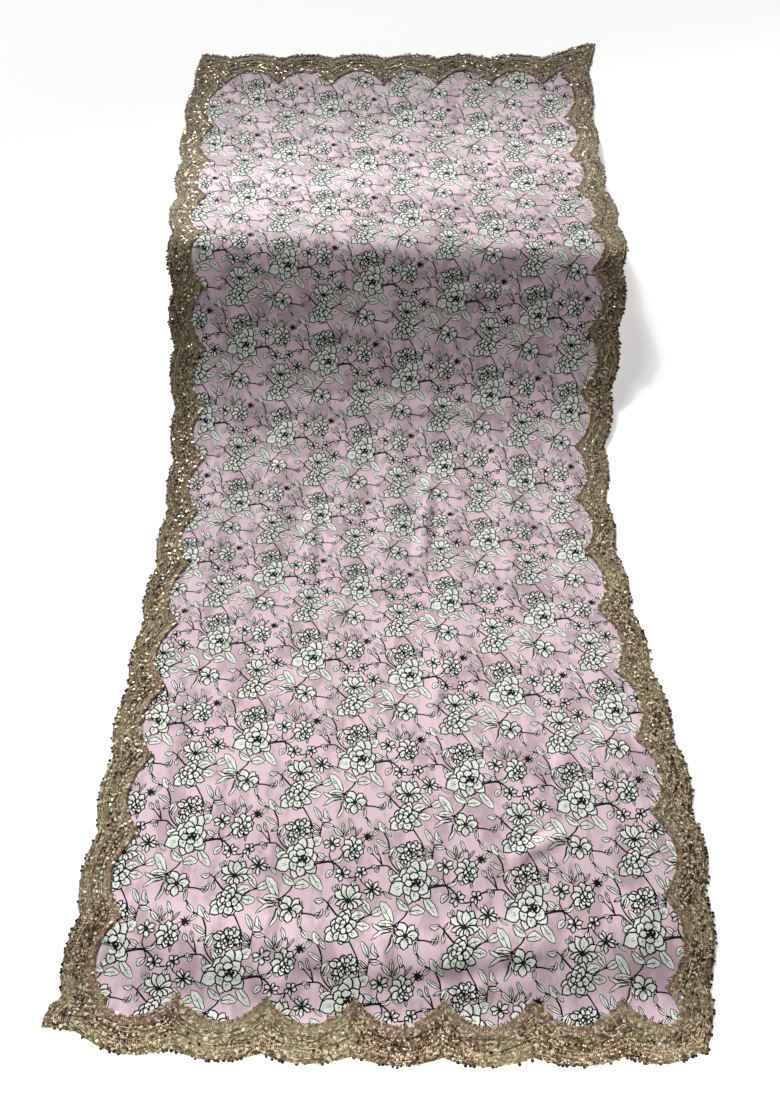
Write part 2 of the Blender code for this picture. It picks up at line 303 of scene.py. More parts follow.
# %% Floor, world and lights
FLOOR_HALF = 6.0
FLOOR_SINK = 0.0002
FLOOR_GLOW = 0.46
WORLD_STRENGTH = 0.115
floor_mesh = bpy.data.meshes.new("studio_floor")
floor_mesh.from_pydata([(-FLOOR_HALF, -FLOOR_HALF, 0), (FLOOR_HALF, -FLOOR_HALF, 0),
                        (FLOOR_HALF, FLOOR_HALF, 0), (-FLOOR_HALF, FLOOR_HALF, 0)], [], [(0, 1, 2, 3)])
floor = bpy.data.objects.new("studio_floor", floor_mesh)
bpy.context.scene.collection.objects.link(floor)
floor.location = (0, 0, -FLOOR_SINK)
floor_paper, _ = new_material("matt_white_paper", Base_Color=linear("#f6f5f4"), Roughness=0.95,
                              Emission_Color=linear("#ffffff"), Emission_Strength=FLOOR_GLOW)
floor_mesh.materials.append(floor_paper)

world = bpy.data.worlds.new("studio")
world.use_nodes = True
world.node_tree.nodes["Background"].inputs["Color"].default_value = linear("#ffffff")
world.node_tree.nodes["Background"].inputs["Strength"].default_value = WORLD_STRENGTH
bpy.context.scene.world = world
bpy.context.scene.view_settings.view_transform = "Standard"

# Each light: place, the point it faces, width, height, watts, and the spread that its grid leaves, in degrees
LIGHTS = {
    "back_softbox": ((-1.58, 6.34, 2.51), (0.0, 0.0, 0.0), 5.0, 2.2, 38.0, 22.0),
    "near_half_softbox": ((-1.58, 5.73, 2.51), (0.0, -0.61, 0.0), 5.0, 0.3, 6.9, 3.8),
    "far_end_softbox": ((-1.24, 5.53, 1.97), (0.0, 0.55, 0.0), 5.0, 0.15, 2.0, 3.0),
    "left_softbox": ((-3.2, 0.0, 1.9), (0.0, -0.2, 0.0), 1.6, 1.6, 11.0, 180.0),
    "near_edge_softbox": ((0.0, -3.1, 2.0), (0.0, -1.2, 0.0), 2.5, 0.1, 1.5, 4.0),
}
for name, (place, target, width, height, watts, spread_angle) in LIGHTS.items():
    light_data = bpy.data.lights.new(name, "AREA")
    light_data.shape = "RECTANGLE"
    light_data.size, light_data.size_y = width, height
    light_data.energy = watts
    light_data.spread = np.radians(spread_angle)
    light = bpy.data.objects.new(name, light_data)
    light.location = place
    light.rotation_euler = (Vector(target) - Vector(place)).to_track_quat("-Z", "Y").to_euler()
    bpy.context.scene.collection.objects.link(light)
print("lights:", ", ".join(LIGHTS))


# %% Making a piece from arrays
def make_piece(name, points, faces, maps, normals=None):
    """A mesh object. faces has 3 or 4 corners a row, and maps gives each UV map two numbers a point."""
    mesh = bpy.data.meshes.new(name)
    count, corners = faces.shape
    mesh.vertices.add(len(points))
    mesh.vertices.foreach_set("co", np.ascontiguousarray(points, dtype=np.float32).ravel())
    mesh.loops.add(count * corners)
    mesh.loops.foreach_set("vertex_index", np.ascontiguousarray(faces, dtype=np.int32).ravel())
    mesh.polygons.add(count)
    mesh.polygons.foreach_set("loop_start", np.arange(0, count * corners, corners, dtype=np.int32))
    mesh.update(calc_edges=True)
    mesh.shade_smooth()
    for map_name, numbers in maps.items():
        layer = mesh.uv_layers.new(name=map_name)
        layer.uv.foreach_set("vector", np.ascontiguousarray(numbers[faces.ravel()], dtype=np.float32).ravel())
    if normals is not None:
        mesh.normals_split_custom_set_from_vertices(normals.tolist())
    piece = bpy.data.objects.new(name, mesh)
    bpy.context.scene.collection.objects.link(piece)
    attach(piece, "root")
    return piece


def grid_faces(rows, columns, start=0, around=False):
    """Quads between the rows and columns of a grid of points, closed across the columns if around is True."""
    row, column = np.meshgrid(np.arange(rows - 1), np.arange(columns - (not around)), indexing="ij")
    following = (column + 1) % columns
    first = start + row * columns
    return stacked(first + column, first + following, first + columns + following,
                   first + columns + column).reshape(-1, 4)


print("quads in a grid of 3 by 4 points:", len(grid_faces(3, 4)))

# %% [markdown]
# ## The scalloped edges
# All four edges share one idea. A line along an edge is set by a share from 0, the outer scalloped edge, to
# 1, the seam with the cloth. Its distance from the straight edge is a parabola in each scallop, shallow
# outside and deep inside. Two such lines of neighbouring edges cross at each corner, on a mitre.


# %% Lines along the edges
def inset_of(edge, place, share):
    """Distance from the straight edge: from depth·parabola outside to width + reach·parabola at the seam."""
    _, notch, pitch, width, depth, reach = EDGES[edge]
    parabola = (2 * np.mod((place - notch) / pitch, 1.0) - 1) ** 2
    return (1 - share) * depth * parabola + share * (width + reach * parabola)


def on_edge(edge, place, share, shift=0.0):
    """A point of the cut at a place along an edge and a share of the lace's width; shift moves it outwards."""
    inset = inset_of(edge, place, share) - shift
    if edge == "near_end":
        return place, inset
    if edge == "far_end":
        return place, LENGTH - inset
    return EDGES[edge][0] * (WIDTH / 2 - inset), place


def corner_places(side, end, share):
    """Where the lines of a long and a short edge cross, by halving: the place on the long, then on the short."""
    long_edge = "right_side" if side > 0 else "left_side"
    short_edge = "far_end" if end > 0 else "near_end"
    outer, inner = side * (WIDTH / 2 + 0.02), side * (WIDTH / 2 - 0.11)
    for _ in range(40):
        middle = (outer + inner) / 2
        down = on_edge(short_edge, middle, share)[1]
        if side * (middle - on_edge(long_edge, down, share)[0]) > 0:
            outer = middle
        else:
            inner = middle
    return on_edge(short_edge, outer, share)[1], outer


def edge_ends(edge, share):
    """The first and last place of a line along an edge, at its two corners."""
    side = EDGES[edge][0]
    if edge.endswith("end"):
        return corner_places(-1, side, share)[1], corner_places(1, side, share)[1]
    return corner_places(side, -1, share)[0], corner_places(side, 1, share)[0]


for edge in EDGES:
    first, last = edge_ends(edge, 0.0)
    print(f"{edge}: outer line {last - first:.3f} m long")

# %% [markdown]
# ## The cloth itself
# The printed cloth is one thin woven sheet. Its print will lie on top as a second, finer skin, so this sheet
# only needs the right outline, folds and reverse side. A grid is stretched between the four seam lines, laid,
# and closed with an underside just below, which makes a real thin shell.

# %% The woven sheet, a thin shell from a grid
CLOTH_ROWS, CLOTH_COLUMNS = 180, 70
CLOTH_TOP, CLOTH_UNDER = 0.00035, 0.00005
EVENING_ROUNDS = 60


def cross(one, two):
    """The cross product of flat vectors: twice the area between them, above 0 if two is to the left of one."""
    return one[..., 0] * two[..., 1] - one[..., 1] * two[..., 0]


def shell_faces(rows, columns):
    """Faces of a closed shell: a top grid, the same grid below it turned over, and a strip along each edge."""
    top = grid_faces(rows, columns)
    under = top[:, ::-1] + rows * columns
    index = np.arange(rows * columns).reshape(rows, columns)
    rim = np.concatenate([index[0, :-1], index[:-1, -1], index[-1, :0:-1], index[:0:-1, 0]])
    after = np.roll(rim, -1)
    return np.concatenate([top, under, stacked(after, rim, rim + rows * columns, after + rows * columns)])


def cut_area(across, down):
    """Area of a grid on the flat cut: half the cross product of each quad's two diagonals, summed."""
    cut = stacked(across, down)
    return float(np.abs(cross(cut[1:, 1:] - cut[:-1, :-1], cut[1:, :-1] - cut[:-1, 1:])).sum() / 2)


def seam_grid(rows, columns):
    """A grid between the four seam lines: points share out the way between opposite seams, again and again."""
    u = np.linspace(-1, 1, columns)[None, :]
    v = np.linspace(0, 1, rows)[:, None]
    across = 0.42 * u + 0 * v
    for _ in range(EVENING_ROUNDS):
        near, far = on_edge("near_end", across, 1.0)[1], on_edge("far_end", across, 1.0)[1]
        down = near + (far - near) * v
        left, right = on_edge("left_side", down, 1.0)[0], on_edge("right_side", down, 1.0)[0]
        across = (left + right) / 2 + (right - left) / 2 * u
    return across, down


cloth_across, cloth_down = seam_grid(CLOTH_ROWS, CLOTH_COLUMNS)
points = np.concatenate([lay(cloth_across, cloth_down, lift).reshape(-1, 3)
                         for lift in (CLOTH_TOP, CLOTH_UNDER)])
cut = np.tile(stacked(cloth_across, cloth_down).reshape(-1, 2), (2, 1))
woven_cloth = make_piece("woven_cloth", points, shell_faces(CLOTH_ROWS, CLOTH_COLUMNS), {"cut": cut})
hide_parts("printed_panel")

# %% [markdown]
# ## The net of the lace
# The border is embroidered on fine nylon net. Each of its four lengths is one closed skin: a profile runs
# over the top from the scalloped edge to the seam and back underneath, and it is carried along the edge.
# It keeps two maps: the cut in metres for even patterns, and one along the lace, for its bands.

# %% Four lengths of net
NET_STEP = 0.003
NET_TOP = 0.0020
NET_UNDER = 0.00005
NET_SHARES = np.array([0.0, 0.03, 0.10, 0.24, 0.38, 0.52, 0.66, 0.80, 0.93, 0.985, 1.0, 1.0, 0.5, 0.0])
NET_LIFTS = np.array([0.5, 1.5, 1.9, 2.0, 2.0, 2.0, 2.0, 2.0, 2.0, 1.9, 1.4, 0.05, 0.05, 0.05]) / 1000
TOP_ROWS = NET_LIFTS > 0.0004


def by_column(*parts):
    """A grid's points listed column by column, as the net's faces number them."""
    return stacked(*parts).transpose(1, 0, 2).reshape(-1, len(parts))


lace_nets, lace_areas = {}, {}
for edge in EDGES:
    ends = np.array([edge_ends(edge, share) for share in NET_SHARES])
    columns = int((ends[0, 1] - ends[0, 0]) / NET_STEP)
    along_share = np.concatenate([[0.0], np.linspace(0, 1, columns - 2), [1.0]])
    place = ends[:, :1] + (ends[:, 1:] - ends[:, :1]) * along_share
    across, down = np.broadcast_arrays(*on_edge(edge, place, NET_SHARES[:, None]))
    lift = np.repeat(NET_LIFTS[:, None], columns, axis=1)
    lift[:, [0, -1]] = NET_UNDER
    faces = grid_faces(columns, len(NET_SHARES), around=True)
    if edge in ("far_end", "left_side"):
        faces = faces[:, ::-1]
    points = lay(across, down, lift).transpose(1, 0, 2).reshape(-1, 3)
    maps = {"cut": by_column(across, down), "lace": by_column(place, NET_SHARES[:, None])}
    lace_nets[edge] = make_piece(f"lace_net_{edge}", points, faces, maps)
    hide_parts(f"lace_{edge}")
    lace_areas[edge] = cut_area(across[TOP_ROWS], down[TOP_ROWS])
    print(lace_nets[edge].name, len(faces), f"quads, {lace_areas[edge]:.4f} square metres")

# %% [markdown]
# ## Drawing the print
# The print is screen-printed: a grey-green ink line drawing of garden flowers over a pink ground, with the
# petals filled in a pale mint. It repeats about every 175 mm. A bitmap would blur when seen close, so the
# print is drawn as flat outlines instead, by a few formulas: a petal is a rounded loop, a leaf is pointed at
# both ends, and a stem is a smooth line with a width. Each flower is a ring or a fan of such petals, with
# thin needles of ink for veins.

# %% Petals, leaves and stems as closed outlines, in millimetres
shapes = []
LINE = 2.15
FINE_LINE = 1.65
UNEVEN = 0.026
TIP_SHARE = 0.15
RIBBED = 9
random = np.random.default_rng(7)


def closed_loop(base, tip, width, bend, half_width, turns):
    """A loop carried from base to tip and back: half_width(turns) to each side of a line bent by bend."""
    base, tip = np.array(base, float), np.array(tip, float)
    run = tip - base
    side = np.array([-run[1], run[0]]) / np.hypot(*run)
    share = (1 - np.cos(turns)) / 2
    off = half_width * width / 2 + bend * np.hypot(*run) * 4 * share * (1 - share)
    return base + share[:, None] * run - off[:, None] * side


def petal(base, tip, width, bend=0.0, points=8):
    """A petal: half width sin(t)·(1 − 0.3·cos(t)), broadest towards its tip, which is drawn out a little."""
    turns = np.pi + 2 * np.pi * (np.arange(points) - points // 2) / points
    ring = closed_loop(base, tip, width, bend, np.sin(turns) * (1 - 0.3 * np.cos(turns)) / 1.03, turns)
    ring[points // 2] += TIP_SHARE * (np.array(tip, float) - np.array(base, float))
    return ring


def leaf(base, tip, width, bend=0.0, points=8):
    """A leaf, pointed at both ends: half width sin(t)·|sin(t)|^0.45."""
    turns = 2 * np.pi * np.arange(points) / points
    return closed_loop(base, tip, width, bend, np.sin(turns) * np.abs(np.sin(turns)) ** 0.45, turns)


def stroke(points, width, steps=3, tip_share=0.45):
    """A smooth line through the points, given a width that tapers to tip_share of it at the end."""
    points = np.array(points, float)
    knots = np.arange(len(points), dtype=float)
    at = np.linspace(0, len(points) - 1, steps * (len(points) - 1) + 1)
    line = np.stack([smooth(knots, points[:, axis], at) for axis in (0, 1)], axis=-1)
    run = np.gradient(line, axis=0)
    side = np.stack([-run[:, 1], run[:, 0]], axis=-1) / np.hypot(run[:, 0], run[:, 1])[:, None]
    half = width / 2 * np.linspace(1, tip_share, len(line))[:, None]
    return np.concatenate([line - side * half, (line + side * half)[::-1]])


def grown(ring, by):
    """The ring moved outwards along its own normals; by is below 0 to move it inwards."""
    following, before = np.roll(ring, -1, axis=0), np.roll(ring, 1, axis=0)
    area = (ring[:, 0] * following[:, 1] - following[:, 0] * ring[:, 1]).sum()
    run = following - before
    out = np.stack([run[:, 1], -run[:, 0]], axis=-1) / np.hypot(run[:, 0], run[:, 1])[:, None]
    return ring + np.sign(area) * by * out


def draw(ring, line=LINE):
    """A shape with an ink outline and a mint inside, its points moved a little, as a hand would."""
    size = np.hypot(*(ring.max(axis=0) - ring.min(axis=0)))
    ring = ring + UNEVEN * size * random.uniform(-1, 1, ring.shape)
    shapes.append((grown(ring, line / 2), grown(ring, -line / 2)))


def ink(ring):
    """A shape that is ink all over."""
    shapes.append((ring, None))


def way(turn):
    """The unit vector at a turn in degrees."""
    return np.array([np.cos(np.radians(turn)), np.sin(np.radians(turn))])


def vein(base, tip, width=1.25):
    """A thin needle of ink from base to tip."""
    base, tip = np.array(base, float), np.array(tip, float)
    run = tip - base
    side = np.array([-run[1], run[0]]) / np.hypot(*run) * width / 2
    ink(np.array([base - side, tip, base + side]))


def draw_leaves(rows):
    """Leaves with their ribs: each row is base x, y, tip x, y, width and, if it bends, how much."""
    for x0, y0, x1, y1, width, *bend in rows:
        bend = bend[0] if bend else 0.0
        draw(leaf((x0, y0), (x1, y1), width, bend), 1.3)
        run_x, run_y = x1 - x0, y1 - y0
        ink(stroke([(x0, y0), (x0 + 0.4 * run_x + 0.75 * bend * run_y, y0 + 0.4 * run_y - 0.75 * bend * run_x),
                    (x0 + 0.8 * run_x, y0 + 0.8 * run_y)], FINE_LINE, 1, 0.5))
        if width >= RIBBED:
            out = 0.36 * width * np.array([-run_y, run_x]) / np.hypot(run_x, run_y)
            middle = np.array([x0, y0]) + 0.5 * np.array([run_x, run_y])
            for side in (-1, 1):
                vein(middle + side * 0.15 * out, middle + 0.2 * np.array([run_x, run_y]) + side * 0.9 * out, 1.1)


def draw_fan(x, y, start, rows):
    """Petals from one point: each row is turn, reach and width."""
    for turn, reach, width in rows:
        draw(petal(np.array([x, y]) + start * way(turn), np.array([x, y]) + reach * way(turn), width, 0.05))
        vein(np.array([x, y]) + 0.35 * reach * way(turn + 4), np.array([x, y]) + 0.82 * reach * way(turn - 3))


def draw_ring(x, y, count, inner, outer, width, turn, uneven=0.17, points=8):
    """A ring of petals round a point, each a little longer or shorter than the next."""
    for k in range(count):
        angle = turn + 360 * k / count + 11 * np.sin(2.3 * k + turn)
        reach = outer * (1 + uneven * np.sin(1.7 * k + turn))
        centre = np.array([x, y])
        bend = 0.05 * np.sin(3.1 * k)
        own_width = width * (1 + 0.16 * np.sin(2.9 * k + turn))
        draw(petal(centre + inner * way(angle), centre + reach * way(angle), own_width, bend, points))
        if points > 8:
            vein(centre + 0.6 * reach * way(angle + 3), centre + 0.88 * reach * way(angle + 1))
            vein(centre + 0.62 * reach * way(angle - 5), centre + 0.84 * reach * way(angle - 6))


def draw_flower(x, y, count, radius, turn, eye):
    """A small open flower: a ring of petals, a vein in each, and an ink eye."""
    draw_ring(x, y, count, 0.1 * radius, radius, 3.7 * radius / count, turn, 0.06, 6)
    for k in range(count):
        vein((x, y), np.array([x, y]) + 0.62 * radius * way(turn + 360 * k / count), 1.4)
    ink(petal((x - eye * radius, y), (x + eye * radius, y), 2 * eye * radius, 0.0, 7))


print("a petal has", len(petal((0, 0), (0, 10), 6)), "points")

# %% Stems first, then their leaves
# Each stem: its width, then the points that it runs through
STEMS = (
    (1.9, (-9, -36), (-15, -47), (-28, -58)), (1.9, (6, -78), (18, -78), (28, -81)),
    (2.0, (-25, -59), (-16, -66)),
    (1.9, (6, -94), (13, -103), (22, -113), (33, -116), (41, -128), (45, -142), (45, -157), (52, -170),
     (68, -186)),
    (1.7, (-9, 86), (5, 65), (11, 52), (14, 30)), (1.7, (24, 32), (26, 49), (27, 58)),
    (1.5, (27, 57), (37, 57), (41, 62)), (1.6, (43, 52), (52, 44), (64, 31)), (1.4, (79, 28), (80, 42), (77, 50)),
    (1.8, (64, 18), (61, 7), (53, -2)), (1.5, (44, 18), (41, 7), (46, -4)), (1.4, (-5, 26), (-5, 40)),
    (2.2, (15, -9), (33, -5), (46, -5), (57, -12), (63, -19)), (1.3, (17, -5), (33, -3), (46, -3), (58, 0)),
    (1.6, (47, -6), (50, -13), (49, -20)), (1.8, (66, -24), (74, -28), (81, -27), (89, -22)),
    (1.7, (89, -24), (93, -34), (104, -43)), (1.8, (92, -18), (108, -12), (124, -10), (134, -12), (152, -28)),
    (1.7, (124, -10), (112, 3), (103, 13)), (1.6, (122, -7), (118, 6), (112, 18)),
    (1.5, (118, -10), (118, -16), (116, -20)), (1.7, (114, -46), (129, -50), (137, -57)),
    (2.0, (64, -84), (52, -72), (44, -63), (36, -57)), (1.7, (45, -66), (46, -75)),
    (1.8, (86, -92), (103, -81), (110, -79)), (1.5, (84, -26), (81, -40)), (1.6, (77, -66), (74, -84)),
    (1.6, (90, 22), (96, 32)), (1.5, (2, 45), (9, 47)),
)
for width, *points in STEMS:
    ink(stroke(points, 1.45 * width, 2, 0.7))
draw_leaves((
    (9, -100, 21, -112, 8), (42, -119, 28, -102, 12, -0.1), (45, -142, 24, -130, 8),
    (46, -158, 58, -141, 9, -0.12),
    (49, -156, 63, -144, 5, -0.16), (26, 58, 13, 81, 8), (41, 60, 30, 79, 8, -0.2), (25, 44, 11, 55, 6),
    (27, 53, 44, 52, 7), (76, 45, 68, 63, 6), (37, -1, 23, 9, 8), (46, -3, 62, 2, 7, 0.15),
    (50, -17, 38, -28, 10, 0.1),
    (106, -13, 114, -10, 6), (116, -13, 113, -20, 7), (107, 7, 100, 18, 7), (116, 6, 110, 23, 6),
    (125, -47, 139, -58, 6), (27, -79, 38, -79, 9, 0.1), (30, -82, 37, -71, 5, 0.2), (38, -58, 24, -60, 8, -0.12),
    (44, -63, 53, -53, 6, 0.15), (45, -69, 45, -82, 6), (110, -78, 95, -58, 10), (110, -79, 129, -70, 13),
    (83, -31, 81, -42, 7, 0.1), (-38, 34, -31, 53, 8, 0.08), (-50, 84, -39, 70, 7), (24, 40, 12, 42, 6),
    (32, -2, 41, 4, 7, 0.1), (122, 8, 134, 14, 6), (134, -14, 140, -27, 7, 0.1), (60, -176, 72, -170, 7, 0.1),
    (28, -114, 18, -124, 7), (96, 30, 108, 34, 5), (64, 4, 72, -4, 6),
))
print("stems and their leaves:", len(shapes), "outlines")

# %% Small flowers and the lily
# Small open flowers: x, y, petals, radius, turn, size of the eye
for row in ((-19, 35, 5, 8.0, 20, 0.20), (6, 44, 5, 8.0, 0, 0.35), (44, 24, 6, 12.0, 100, 0.22),
            (63, -22, 6, 11.0, 80, 0.18), (91, -20, 5, 9.0, 60, 0.30), (109, -45, 8, 13.5, 10, 0.14)):
    draw_flower(*row)
# The ruffled bloom behind the big rose, with a dark middle
draw_ring(-10, 47, 9, 7, 17, 9.5, 20, points=9)
draw_ring(-9, 46, 7, 4, 12, 8, 5, points=6)
draw_ring(-8, 45, 5, 1, 7, 6, 40, points=6)
for k in range(7):
    vein((-8, 45), np.array([-8, 45]) + 8 * way(51 * k + 10), 2.2)
# The dark star-shaped bud
for k in range(8):
    vein((98, 35), np.array([98, 35]) + (10.0 + 1.6 * np.sin(2.0 * k)) * way(45 * k + 12), 4.4)
# The lily: long leaves round its neck, open petals and a dark throat
draw_leaves((
    (-31, -58, -51, -26, 15, 0.04), (-27, -58, -54, -56, 9, 0.06), (-30, -63, -62, -55, 6, -0.15),
    (-31, -67, -61, -78, 6, 0.14), (-31, -70, -39, -98, 6, -0.12), (-29, -61, -21, -89, 6, 0.03),
    (5, -79, 5, -97, 6), (9, -77, 6, -61, 4, -0.15),
))
draw_fan(-11, -72, 2, ((120, 19, 15), (160, 15, 10), (48, 17, 12), (5, 17, 14), (-45, 14, 9), (215, 15, 9),
                       (268, 17, 13)))
for turn in (250, 268, 285):
    ink(stroke([(-11, -71), np.array([-11, -71]) + 10 * way(turn)], 1.6, 1, 0.2))
ink(petal((-15, -71), (-8, -71), 5, 0.0, 7))
ink(petal((-32, -58), (-25, -60), 5, 0.0, 6))
print("with the small flowers and the lily:", len(shapes), "outlines")

# %% The two peonies, the smaller rose and the big rose
# The upper peony, seen from the side: a fan of petals over a ruffled skirt
draw_leaves(((57, -48, 49, -41, 6), (59, -46, 55, -37, 5)))
draw_fan(76, -60, 2, ((152, 23, 13), (118, 22, 14), (62, 22, 15), (88, 20, 14), (30, 19, 11), (-8, 19, 11),
                      (196, 19, 9), (-35, 15, 10), (222, 15, 9), (250, 14, 9), (292, 13, 9)))
ink(petal((73.5, -60), (79, -60.5), 4, 0.0, 6))
# The lower peony, full and round, with two leaves at its shoulder
draw_leaves(((81, -85, 101, -77, 13, -0.10), (88, -92, 110, -95, 14, 0.06)))
draw_ring(69, -98, 9, 8, 22, 14, 25, points=9)
draw_ring(68, -97, 6, 5, 16, 13, 0, points=9)
draw_ring(67, -95, 3, 1, 10, 10, 60)
draw(petal((64, -96), (71, -93), 5, 0.1, 7), 1.1)
# The smaller rose, with leaves above it
draw_leaves(((60, 34, 46, 49, 8), (61, 37, 59, 57, 6), (63, 35, 71, 48, 6, 0.1), (79, 35, 89, 48, 5),
             (83, 4, 84, -8, 4)))
draw_fan(78, 16, 4, ((100, 19, 12), (140, 18, 13), (182, 18, 13), (222, 18, 12), (262, 17, 11), (55, 17, 12),
                     (15, 15, 11), (-25, 15, 11), (-62, 16, 10)))
draw_ring(80, 13, 5, 2, 9.5, 8, 20)
draw_ring(81, 12, 3, 0.5, 5, 5, 80)
# The big rose: leaves, then rings of petals from the outside in, then its dark eye with a curl in it
draw_leaves(((-20, 6, -41, 6, 15), (-17, 15, -31, 32, 7), (11, 20, 28, 34, 16), (13, -20, 34, -47, 14),
             (-28, -21, -8, -38, 12, 0.12), (-8, -40, 15, -39, 15, -0.10)))
draw_ring(-4.5, 0, 9, 10, 29, 19, 12, points=9)
draw_ring(-3.0, -1, 6, 6, 21, 17, 38, points=9)
draw_ring(0, 0, 4, 3, 13.5, 13, 5)
ink(petal((-6.9, 0), (6.9, 0.5), 13.5, 0.0, 9))
for turn in (20, 145, 265):
    draw(petal(2.2 * way(turn), 5.6 * way(turn + 25), 2.4, 0.25, 6), 0.6)
print("outlines in one repeat:", len(shapes))

# %% [markdown]
# ## One repeat of the print as triangles
# The outlines overlap, as in a painting where each new petal covers what lies under it. A constrained
# Delaunay triangulation cuts the plane along every outline, and each triangle takes the colour of the last
# shape that covers it: mint inside its line, ink on it. A second triangulation keeps only the lines where the
# colour changes, and adds scattered points so that the print can bend with the cloth.

# %% Triangles of one repeat, each with its colour
PRINT_ORIGIN = np.array([-0.1434, 0.2873])
PRINT_STEPS = np.array([[0.1743, -0.0349], [0.0877, 0.1600]])
STEPS_MM = 1000 * PRINT_STEPS
MARGIN = 0.13
BEND_POINTS = 11
SNAP_STEPS = 300
PINK, MINT, INK = 0, 1, 2


def in_steps(points):
    """Points in millimetres as shares of the two steps of the repeat."""
    return points @ np.linalg.inv(STEPS_MM)


def repeated_rings():
    """All rings near the repeat's own cell, in painting order, each shape with its copies in the next cells."""
    rings = []
    for outer, inner in shapes:
        parts = [outer] if inner is None else [outer, inner]
        parts = [ring + random.uniform(-0.03, 0.03, ring.shape) for ring in parts]
        for i in range(-2, 3):
            for j in range(-2, 3):
                shift = i * STEPS_MM[0] + j * STEPS_MM[1]
                share = in_steps(parts[0] + shift)
                if (share.max(axis=0) > -MARGIN).all() and (share.min(axis=0) < 1 + MARGIN).all():
                    rings.append([ring + shift for ring in parts])
    return rings


def inside(points, ring):
    """Which points are inside a ring: an odd number of its sides pass to the right of the point."""
    x0, y0 = ring[:, 0], ring[:, 1]
    x1, y1 = np.roll(x0, -1), np.roll(y0, -1)
    px, py = points[:, :1], points[:, 1:]
    spans = (y0 > py) != (y1 > py)
    crossing = x0 + (py - y0) / np.where(y1 == y0, 1.0, y1 - y0) * (x1 - x0)
    return (spans & (px < crossing)).sum(axis=1) % 2 == 1


def colours_at(points, rings):
    """The colour at each point: the last shape over it decides, mint inside its inner ring and ink elsewhere."""
    colour = np.zeros(len(points), int)
    for parts in rings:
        low, high = parts[0].min(axis=0), parts[0].max(axis=0)
        near = np.flatnonzero(((points > low) & (points < high)).all(axis=1))
        near = near[inside(points[near], parts[0])]
        colour[near] = INK
        if len(parts) > 1:
            colour[near[inside(points[near], parts[1])]] = MINT
    return colour


def triangulate(points, edges):
    """Constrained Delaunay triangulation of the plane: points and triangles."""
    found, _, faces, *_ = delaunay_2d_cdt([Vector(p) for p in points.tolist()], edges.tolist(), [], 0, 1e-5)
    return np.array([p[:] for p in found]), np.array([list(face) for face in faces])


rings = repeated_rings()
all_points = np.concatenate([ring for parts in rings for ring in parts])
starts = np.cumsum([0] + [len(ring) for parts in rings for ring in parts])
all_edges = np.concatenate([np.stack([np.arange(a, b), np.r_[a + 1:b, a]], axis=-1)
                            for a, b in zip(starts, starts[1:])])
flat, faces = triangulate(all_points, all_edges)
colour = colours_at(flat[faces].mean(axis=1), rings)
print("first cut:", len(flat), "points,", len(faces), "triangles")

# Keep only the edges between two colours, and scatter points on a jittered grid that repeats with the print
sides = np.sort(np.concatenate([faces[:, [0, 1]], faces[:, [1, 2]], faces[:, [2, 0]]]), axis=1)
owner = np.tile(colour, 3)
_, which, count = np.unique(sides, axis=0, return_inverse=True, return_counts=True)
total = np.bincount(which.ravel(), owner)
squares = np.bincount(which.ravel(), owner.astype(float) ** 2)
changes = np.flatnonzero((count == 2) & (2 * squares - total ** 2 > 0.5))
kept = np.unique(sides, axis=0)[changes]
used, kept = np.unique(kept, return_inverse=True)
lines = np.round(in_steps(flat[used]) * SNAP_STEPS) / SNAP_STEPS @ STEPS_MM
lines, joined = np.unique(np.round(lines, 4), axis=0, return_inverse=True)
kept = np.unique(np.sort(joined.ravel()[kept.reshape(-1, 2)], axis=1), axis=0)
kept = kept[kept[:, 0] != kept[:, 1]]
jitter = random.uniform(-0.28, 0.28, (BEND_POINTS, BEND_POINTS, 2))
reach = np.arange(-int(MARGIN * BEND_POINTS), BEND_POINTS + int(MARGIN * BEND_POINTS) + 1)
i, j = np.meshgrid(reach, reach, indexing="ij")
scatter = (stacked(i, j) + jitter[i % BEND_POINTS, j % BEND_POINTS]).reshape(-1, 2) / BEND_POINTS @ STEPS_MM
gap = np.array([np.hypot(*(lines - point).T).min() for point in scatter])
flat, faces = triangulate(np.concatenate([lines, scatter[gap > 3.0]]), kept)
middle = flat[faces].mean(axis=1)
share = in_steps(middle)
own = ((share >= 0) & (share < 1)).all(axis=1)
faces, colour = faces[own], colours_at(middle[own], rings)
tile_used, tile_faces = np.unique(faces, return_inverse=True)
tile_points, tile_faces = flat[tile_used] / 1000, tile_faces.reshape(-1, 3)
corner = tile_points[tile_faces]
one, two = corner[:, 1] - corner[:, 0], corner[:, 2] - corner[:, 0]
tile_area = 0.5 * np.abs(cross(one, two)).sum()
print(f"one repeat: {len(tile_points)} points, {len(tile_faces)} triangles, {np.bincount(colour)} by colour,",
      f"area {1e4 * tile_area:.2f} of {1e4 * abs(np.linalg.det(PRINT_STEPS)):.2f} square cm")

# %% [markdown]
# ## The print on the cloth
# The repeat is copied over the whole cut, each point is drawn back to the seam line where it passes it, and
# then `lay` carries every point to its place on the folds. The real screen's rows don't fall quite evenly, so
# a few millimetres of drift are given along the length. Pink, mint and ink are separate pieces that share
# their borders, which keeps every line sharp however close the camera comes.

# %% Copies of the repeat, cut off along the seam
PRINT_LIFT = 0.00115
SEAM_TUCK = 0.002
PRINT_REACH = 0.62
DRIFT_AT = np.array([-0.20, 0.06, 0.14, 0.26, 0.33, 0.42, 0.60, 0.70, 0.80, 0.93, 1.08, 1.20, 1.33, 1.50,
                     1.65, 2.50])
DRIFT = np.array([-5, -5, -10, 0, 3, 9, 8, 8, -1, -13, -26, -15, -6, 5, 20, 20]) / 1000


